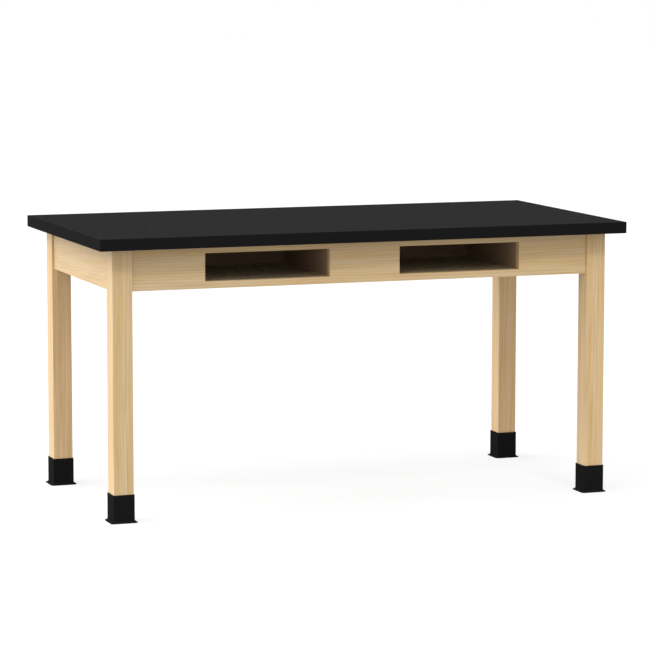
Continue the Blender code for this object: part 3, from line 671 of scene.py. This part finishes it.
def wood_screw(name, length):
    """A pan-head wood screw: its head sits on the origin, its point is below."""
    rim = HEAD_HEIGHT * HEAD_RIM
    crown = [(0, HEAD_HEIGHT)]
    for step in range(HEAD_STEPS, -1, -1):
        angle = QUARTER * step / HEAD_STEPS
        reach = HEAD_RADIUS * (HEAD_FLAT + HEAD_ROUND * math.cos(angle))
        crown.append((reach, rim + (HEAD_HEIGHT - rim) * math.sin(angle)))
    neck = SHANK_RADIUS - WOOD_THREAD_DEPTH / 2
    head = lathe(name, (*crown, (HEAD_RADIUS * HEAD_SEAT, 0), (neck, 0), (neck, -PLAIN_SHANK),
                        (0, -PLAIN_SHANK)))
    for turn in (0, QUARTER):
        bpy.ops.mesh.primitive_cube_add(size=1, location=(0, 0, HEAD_HEIGHT), rotation=(0, 0, turn),
                                        scale=(RECESS_LENGTH, RECESS_WIDTH, 2 * RECESS_DEPTH))
        recess = bpy.context.object
        bpy.ops.object.transform_apply()
        bpy.ops.object.mode_set(mode="EDIT")
        pick("VERT", lambda point: point.z < HEAD_HEIGHT)
        bpy.ops.transform.resize(value=(RECESS_TAPER, RECESS_TAPER, 1), center_override=(0, 0, 0))
        bpy.ops.object.mode_set(mode="OBJECT")
        combine(head, recess, "DIFFERENCE")
    shank = thread("shank", SHANK_RADIUS, WOOD_THREAD_DEPTH, WOOD_PITCH, -length, -THREAD_START,
                   WOOD_POINT, WOOD_CHAMFER)
    combine(head, shank, "UNION")
    bpy.context.view_layer.objects.active = head
    bpy.ops.object.shade_smooth_by_angle(angle=SMOOTH_ANGLE)
    return head


def set_screws(pattern, names_and_places, material):
    """Drive a copy of the screw at each place, each stopped at another angle of its recess."""
    for count, (name, place) in enumerate(names_and_places):
        stopped = Matrix.Rotation(math.radians(SCREW_TURN * count), 4, "Z")
        screw = copy_to(pattern, name, place @ stopped)
        screw.data.materials.append(material)
        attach(screw, "table")
    bpy.data.objects.remove(pattern)


arm_face = arm_line + BRACKET_STEEL / 2
bracket_screws = []
for corner, name in enumerate(CORNERS):
    for level_name, step in ROWS:
        level = bracket_middle + step * SCREW_SPACING
        long_arm = Matrix.Translation((arm_screw, arm_face, level)) @ Matrix.Rotation(-QUARTER, 4, "X")
        side_arm = Matrix.Translation((arm_face, arm_screw, level)) @ Matrix.Rotation(QUARTER, 4, "Y")
        for arm, place in (("first", long_arm), ("second", side_arm)):
            screw_name = "_".join(("bracket_screw", name, arm, level_name))
            bracket_screws.append((screw_name, corner_place(corner) @ place))
set_screws(wood_screw("wood_screw", BRACKET_SCREW_LENGTH), bracket_screws, plated_steel)


# Table top
# A particleboard core between a black laminate sheet above and a backer below, with a black
# plastic band glued round all four edges and trimmed flush.

LAMINATE = "#262626"
LAMINATE_FLECK = "#212121"
BAND = "#1C1C1C"
CHIP_PALE = "#B98F5E"
CHIP_DARK = "#7B5A36"
MATT_MIRROR = 0.003
LAMINATE_IOR = 1.45
LAMINATE_MATT = 0.82
BACKER_MATT = 0.86
MATT_SPREAD = 0.12
MOTTLES_PER_METRE = 60           # 17 mm
SUEDE_PER_METRE = 2200           # 0.45 mm
BAND_IOR = 1.5
BAND_RUNS = {"front": (0.01, 1, 1), "back": (0.01, 1, 1), "left": (1, 0.01, 1), "right": (1, 0.01, 1)}
BAND_LINES_PER_METRE = 1500      # 0.7 mm, coarser than real ones, so that they show
BAND_GRAINS_PER_METRE = 1800     # 0.55 mm
CHIP_IOR = 1.45
CHIP_PRESSED = (1, 1, 3)
CHIPS_PER_METRE = 330            # 3 mm
CHIP_DUST_PER_METRE = 1400       # 0.7 mm


def laminate(name, roughness):
    """High-pressure laminate in flat black: a hard melamine skin pressed against a fine suede
    texture, so it scatters what it mirrors and shows only a faint mottle."""
    material, tree, shader, spot = new_finish(name, {"IOR": LAMINATE_IOR, "Specular IOR Level": MATT_MIRROR})
    mottle = noise(tree, spot, MOTTLES_PER_METRE, detail=4)
    suede = noise(tree, spot, SUEDE_PER_METRE, detail=2)
    tone = remap(tree, mottle, (0.35, 0.7), WHOLE)
    skin = mix(tree, LAMINATE, LAMINATE_FLECK, tone)
    matt = remap(tree, suede, WHOLE, (roughness, roughness + MATT_SPREAD))
    coat(tree, shader, skin, matt, suede, strength=0.4, depth=0.00006)
    return material


def edge_band(name, run):
    """Extruded plastic edge band: black through and through, satin, with faint lines along its
    length from the die."""
    material, tree, shader, spot = new_finish(name, {"IOR": BAND_IOR, "Specular IOR Level": MATT_MIRROR})
    drawn = stretch(tree, spot, run)
    lines = noise(tree, drawn, BAND_LINES_PER_METRE, detail=2)
    grain = noise(tree, spot, BAND_GRAINS_PER_METRE, detail=1)
    shade = remap(tree, lines, (0.3, 0.7), (0.9, 1.1))
    toned = add_node(tree, "VectorMath", {"operation": "SCALE", "Vector": linear(BAND)[:3]}, {"Scale": shade})
    satin = remap(tree, lines, WHOLE, (0.5, 0.62))
    coat(tree, shader, toned, satin, grain, strength=0.2, depth=0.00004)
    return material


def particleboard(name):
    """Three-layer particleboard: pressed wood chips of a few millimetres, lying flat, bound with
    resin."""
    material, tree, shader, spot = new_finish(name, {"IOR": CHIP_IOR})
    flat = stretch(tree, spot, CHIP_PRESSED)
    chips = add_node(tree, "TexVoronoi", {"Scale": CHIPS_PER_METRE}, {"Vector": flat})
    dust = noise(tree, spot, CHIP_DUST_PER_METRE, detail=2)
    tone = add_node(tree, "SeparateColor", {}, {"Color": chips.outputs["Color"]})
    pressed = mix(tree, CHIP_PALE, CHIP_DARK, tone.outputs["Red"])
    dry = remap(tree, dust, WHOLE, (0.75, 0.95))
    coat(tree, shader, pressed, dry, chips.outputs["Distance"], strength=0.6, depth=0.0002)
    return material


dress("top_laminate", laminate("black_laminate", LAMINATE_MATT))
dress("top_backer", laminate("black_backer", BACKER_MATT))
dress("top_core", particleboard("particleboard_core"))
for name, run in BAND_RUNS.items():
    dress("edge_band_" + name, edge_band("black_edge_band_" + name, run))


# Top clips
# Z-shaped clips pressed from 1.6 mm zinc-plated strip hold the top down: the tab sits in the
# aprons' groove, and a screw through the foot goes up into the core.

CLIP_STEEL = 0.0016
CLIP_TAB = 0.0075
CLIP_FOOT = 0.019
CLIP_BEND = 0.0012
CLIP_CORNER = 0.003
CLIP_SCREW_LENGTH = 0.0159

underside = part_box("top_backer")[0].z
clip_low, clip_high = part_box("top_clip_left")
clip_half = (clip_high.y - clip_low.y) / 2
tab_line = clip_low.z - underside + CLIP_STEEL / 2
foot_line = clip_high.z - underside - CLIP_STEEL / 2
riser_line = FIT_GAP + CLIP_STEEL / 2
foot_end = riser_line + CLIP_STEEL / 2 + CLIP_FOOT
clip_screw = foot_end - CLIP_FOOT / 2
clip = draw_line("clip", [(-clip_half, y, z) for y, z in (
    (-CLIP_TAB, tab_line), (riser_line, tab_line), (riser_line, foot_line), (foot_end, foot_line))])
bpy.ops.mesh.select_all(action="SELECT")
bpy.ops.mesh.extrude_region_move(TRANSFORM_OT_translate={"value": (2 * clip_half, 0, 0)})
for level in (tab_line, foot_line):
    pick("EDGE", lambda point: abs(point.y - riser_line) < NEAR and abs(point.z - level) < NEAR)
    bpy.ops.mesh.bevel(offset=CLIP_BEND, segments=BEND_STEPS, affect="EDGES")
pick("VERT", lambda point: abs(point.y - foot_end) < NEAR or abs(point.y + CLIP_TAB) < NEAR)
bpy.ops.mesh.bevel(offset=CLIP_CORNER, segments=BEND_STEPS, affect="VERTICES")
leave_edit()
apply_modifier(clip, "SOLIDIFY", thickness=CLIP_STEEL, offset=0, use_even_offset=True)
drill(clip, SCREW_HOLE / 2, SCREW_DRILL, (0, clip_screw, foot_line))
ease_sheet(clip)
calm_flats(clip)

back_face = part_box("apron_back")[0].y
clip_places = {}
for name, face, turn in (("left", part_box("apron_left")[1].x, -QUARTER),
                         ("right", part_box("apron_right")[0].x, QUARTER)):
    clip_places[name] = Matrix.Translation((face, 0, underside)) @ Matrix.Rotation(turn, 4, "Z")
for name in ("back_left", "back_right"):
    low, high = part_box("top_clip_" + name)
    half_turn = Matrix.Rotation(math.pi, 4, "Z")
    clip_places[name] = Matrix.Translation(((low.x + high.x) / 2, back_face, underside)) @ half_turn
for name, place in clip_places.items():
    strip = copy_to(clip, "hold_down_clip_" + name, place)
    strip.data.materials.append(plated_steel)
    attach(strip, "table")
    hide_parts("top_clip_" + name)
bpy.data.objects.remove(clip)

upward = Matrix.Rotation(math.pi, 4, "X")
foot_face = Matrix.Translation((0, clip_screw, foot_line - CLIP_STEEL / 2))
clip_screws = [("clip_screw_" + name, place @ foot_face @ upward) for name, place in clip_places.items()]
set_screws(wood_screw("wood_screw", CLIP_SCREW_LENGTH), clip_screws, plated_steel)


# Cleat screws
# Two number 8 pan-head screws, twice as long as the clips', go up through each maple cleat into
# the core and carry the compartment.

CLEAT_SCREW_LENGTH = 0.0318
CLEAT_SCREW_SPREAD = 0.1278

cleat_screws = []
for side in ("left", "right"):
    for wall in ("inner", "outer"):
        low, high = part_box("compartment_" + side + "_" + wall + "_cleat")
        for end, way in (("front", -1), ("back", 1)):
            spot = Vector(((low.x + high.x) / 2, (low.y + high.y) / 2 + way * CLEAT_SCREW_SPREAD, low.z))
            screw_name = "_".join(("cleat_screw", side, wall, end))
            cleat_screws.append((screw_name, Matrix.Translation(spot) @ upward))
set_screws(wood_screw("wood_screw", CLEAT_SCREW_LENGTH), cleat_screws, plated_steel)


# Levelling glides
# A grey nylon pad swivels on the ball of a 3/8 inch plated stud. The stud has a hexagon for the
# spanner, and screws into a flanged insert driven up the foot of the leg.

NYLON = "#8B8C8E"
NYLON_IOR = 1.53
NYLON_GRAINS_PER_METRE = 1200    # 0.8 mm
PAD_RIM = 0.004
PAD_CROWN = 0.00825
PAD_HEIGHT = 0.0095
PAD_EASING = 0.0008
PAD_RELIEF = 0.0006
PAD_RELIEF_RADII = (0.68, 0.72)
PAD_FLANK_STEPS = 6
BALL_RADIUS = 0.00475
BALL_HEIGHT = 0.00655
BALL_STEPS = 10
NECK_RADIUS = 0.003
SHOULDER_FLATS = 0.0143
SHOULDER_LOW = 0.0103
SHOULDER_HIGH = 0.0148
STUD_RADIUS = 0.0047625
STUD_PITCH = 0.0015875
STUD_THREAD_DEPTH = 0.00097
STUD_NECK_OVERLAP = 0.0005
STUD_THREAD_OVERLAP = 0.001
STUD_FOOT = 0.0005
STUD_CHAMFER = 0.0015
INSERT_FLANGE = 0.011
INSERT_FLANGE_EASING = 0.0003
INSERT_BARREL = 0.007
INSERT_BARREL_CHAMFER = 0.0008
INSERT_BORE_CHAMFER = 0.0004
INSERT_STEEL = 0.0016


def nylon(name):
    """Moulded grey nylon: slightly waxy, satin, even in colour, finely grained by its mould."""
    material, tree, shader, spot = new_finish(name, {"IOR": NYLON_IOR})
    grain = noise(tree, spot, NYLON_GRAINS_PER_METRE, detail=2)
    tone = remap(tree, grain, (0.3, 0.7), (0.94, 1.06))
    toned = add_node(tree, "VectorMath", {"operation": "SCALE", "Vector": linear(NYLON)[:3]}, {"Scale": tone})
    satin = remap(tree, grain, WHOLE, (0.38, 0.55))
    coat(tree, shader, toned, satin, grain, strength=0.2, depth=0.00005)
    return material


def ball_profile(radius, top_angle):
    """Points up a ball from its pole below to an angle above its middle."""
    points = []
    for step in range(BALL_STEPS + 1):
        angle = -QUARTER + (top_angle + QUARTER) * step / BALL_STEPS
        points.append((radius * math.cos(angle), BALL_HEIGHT + radius * math.sin(angle)))
    return points


pad_low, pad_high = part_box("glide_pad_front_left")
pad_radius = (pad_high.x - pad_low.x) / 2
flank = []
for step in range(PAD_FLANK_STEPS + 1):
    angle = QUARTER * step / PAD_FLANK_STEPS
    flank.append((PAD_CROWN + (pad_radius - PAD_EASING - PAD_CROWN) * (1 - math.sin(angle)),
                  PAD_HEIGHT - (PAD_HEIGHT - PAD_RIM) * math.cos(angle)))
socket = BALL_RADIUS + FIT_GAP
mouth = ball_profile(socket, math.asin((PAD_HEIGHT - BALL_HEIGHT) / socket))
hollow, rest = PAD_RELIEF_RADII
pad = lathe("pad", (
    (0, PAD_RELIEF), (pad_radius * hollow, PAD_RELIEF), (pad_radius * rest, 0), (pad_radius - PAD_EASING, 0),
    (pad_radius, PAD_EASING), (pad_radius, PAD_RIM - PAD_EASING), *flank, *reversed(mouth)))

stud_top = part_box("glide_stud_front_left")[1].z
stud = lathe("stud", (*ball_profile(BALL_RADIUS, math.acos(NECK_RADIUS / BALL_RADIUS)),
                      (NECK_RADIUS, SHOULDER_LOW + STUD_NECK_OVERLAP), (0, SHOULDER_LOW + STUD_NECK_OVERLAP)))
combine(stud, hex_head("spanner_hexagon", SHOULDER_FLATS, SHOULDER_LOW, SHOULDER_HIGH), "UNION")
shank = thread("stud_thread", STUD_RADIUS, STUD_THREAD_DEPTH, STUD_PITCH,
               SHOULDER_HIGH - STUD_THREAD_OVERLAP, stud_top, STUD_FOOT, STUD_CHAMFER)
combine(stud, shank, "UNION")

insert_low, insert_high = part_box("foot_insert_front_left")
bore = STUD_RADIUS + FIT_GAP
flange_top = insert_low.z + INSERT_STEEL
insert = lathe("insert", (
    (bore + INSERT_BORE_CHAMFER, insert_low.z), (INSERT_FLANGE - INSERT_FLANGE_EASING, insert_low.z),
    (INSERT_FLANGE, insert_low.z + INSERT_FLANGE_EASING), (INSERT_FLANGE, flange_top),
    (INSERT_BARREL, flange_top), (INSERT_BARREL, insert_high.z - INSERT_BARREL_CHAMFER),
    (INSERT_BARREL - INSERT_BARREL_CHAMFER, insert_high.z), (bore, insert_high.z),
    (bore, insert_low.z + INSERT_BORE_CHAMFER), (bore + INSERT_BORE_CHAMFER, insert_low.z)))

pad_nylon = nylon("grey_nylon")
for corner, name in enumerate(CORNERS):
    for pattern, piece_name, node, body, material, slot in (
        (pad, "swivel_pad_", "glide_pad_", name + "_glide", pad_nylon, "grey_nylon"),
        (stud, "threaded_stud_", "glide_stud_", name + "_stud", plated_steel, "zinc_plated_steel"),
        (insert, "threaded_insert_", "foot_insert_", "table", plated_steel, "zinc_plated_steel"),
    ):
        piece = copy_to(pattern, piece_name + name, corner_place(corner))
        piece.data.materials.append(material)
        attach(piece, body)
        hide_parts(node + name)
for pattern in (pad, stud, insert):
    bpy.data.objects.remove(pattern)


# Boots
# A black rubber sleeve pushed up over each foot, moulded in one piece, with a cove that sweeps
# out to the floor and hides the levelling glide.

RUBBER = "#1A1A1A"
RUBBER_SCUFF = "#232322"
RUBBER_IOR = 1.52
SCUFFS_PER_METRE = 130           # 8 mm
RUBBER_GRAINS_PER_METRE = 1600   # 0.6 mm
BOOT_CORNER = 0.0025
BOOT_CORNER_STEPS = 8
BOOT_WALL = 0.002
BOOT_RIM = 0.0006
BOOT_COVE_HEIGHT = 0.0085
BOOT_FLARE = 0.0076
BOOT_LIP = 0.0018
LIP_EASING = 0.0003
COVE_STEPS = 12
RIM_STEPS = 3


def rubber(name):
    """Moulded black rubber: dense, matt, with the fine grain of its mould and slight grey
    scuffs."""
    material, tree, shader, spot = new_finish(name, {"IOR": RUBBER_IOR, "Specular IOR Level": MATT_MIRROR})
    scuffs = noise(tree, spot, SCUFFS_PER_METRE, detail=5, roughness=0.7)
    grain = noise(tree, spot, RUBBER_GRAINS_PER_METRE, detail=2)
    worn = remap(tree, scuffs, (0.5, 0.75), WHOLE)
    skin = mix(tree, RUBBER, RUBBER_SCUFF, worn)
    matt = remap(tree, grain, WHOLE, (0.55, 0.75))
    coat(tree, shader, skin, matt, grain, strength=0.35, depth=0.00008)
    return material


leg_low, leg_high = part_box("leg_front_left")
boot_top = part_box("boot_front_left")[1].z
sleeve_inside = (leg_high.x - leg_low.x) / 2 + FIT_GAP
sleeve_outside = sleeve_inside + BOOT_WALL
lip_outside = sleeve_outside + BOOT_FLARE
section = [(sleeve_inside, 0), (sleeve_inside, boot_top)]
for step in range(RIM_STEPS + 1):
    angle = QUARTER * step / RIM_STEPS
    section.append((sleeve_outside - BOOT_RIM * (1 - math.sin(angle)),
                    boot_top - BOOT_RIM * (1 - math.cos(angle))))
for step in range(COVE_STEPS + 1):
    angle = QUARTER * step / COVE_STEPS
    section.append((sleeve_outside + BOOT_FLARE * (1 - math.cos(angle)),
                    BOOT_COVE_HEIGHT - (BOOT_COVE_HEIGHT - BOOT_LIP) * math.sin(angle)))
section += [(lip_outside, LIP_EASING), (lip_outside - LIP_EASING, 0), (sleeve_inside, 0)]

# The section is drawn along each side in turn, and swept round the corner at its end
corner_at = sleeve_outside - BOOT_CORNER
boot = draw_line("boot", [Vector((reach, -corner_at, height)) for reach, height in section])
bpy.ops.mesh.select_all(action="SELECT")
for side in range(len(CORNERS)):
    facing = Matrix.Rotation(side * QUARTER, 3, "Z")
    bpy.ops.mesh.extrude_region_move(TRANSFORM_OT_translate={"value": facing @ Vector((0, 2 * corner_at, 0))})
    bpy.ops.mesh.spin(steps=BOOT_CORNER_STEPS, angle=-QUARTER, axis=(0, 0, 1),
                      center=facing @ Vector((corner_at, corner_at, 0)))
leave_edit()
calm_flats(boot)

boot_rubber = rubber("black_rubber")
for corner, name in enumerate(CORNERS):
    sleeve = copy_to(boot, "rubber_boot_" + name, corner_place(corner))
    sleeve.data.materials.append(boot_rubber)
    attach(sleeve, name + "_boot")
    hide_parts("boot_" + name)
bpy.data.objects.remove(boot)


# Floor, light and camera
# A white light tent: a glass floor lit evenly from below keeps a faint shadow, a broad soft light
# comes from high on the left and a smaller lamp stands high in front. The camera has the
# photograph's view.

FLOOR_SIZE = 60.0
FLOOR_GLOW = 0.78
FLOOR_SHADE = (0.2, 0.2, 0.2, 1.0)
TENT_LIGHT = 0.605
LEFT_LIGHT = 3.8
LEFT_SOFTNESS = 5
LEFT_TURN = math.radians(12)
LEFT_RISE = math.radians(48)
LAMP_STRENGTH = 0.86
LAMP_WIDTH = 0.2
LAMP_ELEVATION = math.radians(55)
CAMERA_SPOT = (-2.944386, -8.110645, 1.558097)
CAMERA_YAW = 0.34871
CAMERA_PITCH = 0.12599
CAMERA_ROLL = 0.00074
CAMERA_LENS = 169.84
CAMERA_REACH = 200

bpy.ops.mesh.primitive_plane_add(size=FLOOR_SIZE, location=(0, 0, 0))
floor = bpy.context.object
floor.name = "studio_floor"
floor_paint = bpy.data.materials.new("studio_floor_paint")
floor_paint.use_nodes = True
tree = floor_paint.node_tree
tree.nodes.clear()
rays = add_node(tree, "LightPath")
facing = add_node(tree, "NewGeometry")
glow = add_node(tree, "Emission", {"Strength": FLOOR_GLOW})
shaded = add_node(tree, "BsdfDiffuse", {"Color": FLOOR_SHADE})
seen = add_node(tree, "AddShader", {}, {"Shader": glow, "Shader_001": shaded})
clear = add_node(tree, "BsdfTransparent")
shown = add_node(tree, "Math", {"operation": "MAXIMUM"},
                 {"Value": rays.outputs["Is Camera Ray"], "Value_001": rays.outputs["Is Glossy Ray"]})
from_above = add_node(tree, "Math", {"operation": "SUBTRACT", "use_clamp": True},
                      {"Value": shown, "Value_001": facing.outputs["Backfacing"]})
whole = add_node(tree, "MixShader", {}, {"Fac": from_above, "Shader": clear, "Shader_001": seen})
add_node(tree, "OutputMaterial", {}, {"Surface": whole})
floor.data.materials.append(floor_paint)

world = bpy.data.worlds.new("studio_sky")
bpy.context.scene.world = world
world.use_nodes = True
tree = world.node_tree
tree.nodes.clear()
rays = add_node(tree, "LightPath")
spot = add_node(tree, "TexCoord")
left_way = Vector((-math.cos(LEFT_TURN), math.sin(LEFT_TURN), math.tan(LEFT_RISE))).normalized()
towards = add_node(tree, "VectorMath", {"operation": "DOT_PRODUCT", "Vector_001": left_way},
                   {"Vector": spot.outputs["Generated"]})
lit_side = add_node(tree, "Math", {"operation": "MAXIMUM", "Value_001": 0}, {"Value": towards})
lobe = add_node(tree, "Math", {"operation": "POWER", "Value_001": LEFT_SOFTNESS}, {"Value": lit_side})
strength = add_node(tree, "Math", {"operation": "MULTIPLY_ADD", "Value_001": LEFT_LIGHT,
                                   "Value_002": TENT_LIGHT}, {"Value": lobe})
light_sky = add_node(tree, "Background", {"Color": (1, 1, 1, 1)}, {"Strength": strength})
white_sky = add_node(tree, "Background", {"Color": (1, 1, 1, 1), "Strength": 1})
seen = add_node(tree, "Math", {"operation": "MAXIMUM"},
                {"Value": rays.outputs["Is Camera Ray"], "Value_001": rays.outputs["Is Glossy Ray"]})
shown = add_node(tree, "Math", {"operation": "MAXIMUM"},
                 {"Value": seen, "Value_001": rays.outputs["Is Transmission Ray"]})
both = add_node(tree, "MixShader", {}, {"Fac": shown, "Shader": light_sky, "Shader_001": white_sky})
add_node(tree, "OutputWorld", {}, {"Surface": both})

bpy.ops.object.light_add(type="SUN", rotation=(QUARTER - LAMP_ELEVATION, 0, 0))
lamp = bpy.context.object
lamp.name = "front_lamp"
lamp.data.energy = LAMP_STRENGTH
lamp.data.angle = LAMP_WIDTH

bpy.ops.object.camera_add(location=CAMERA_SPOT)
camera = bpy.context.object
camera.name = "studio_camera"
aim = Matrix.Rotation(-CAMERA_YAW, 3, "Z") @ Matrix.Rotation(QUARTER - CAMERA_PITCH, 3, "X")
camera.rotation_euler = (aim @ Matrix.Rotation(CAMERA_ROLL, 3, "Z")).to_euler()
camera.data.lens = CAMERA_LENS
camera.data.clip_end = CAMERA_REACH
bpy.context.scene.camera = camera
bpy.context.scene.view_settings.view_transform = "Standard"
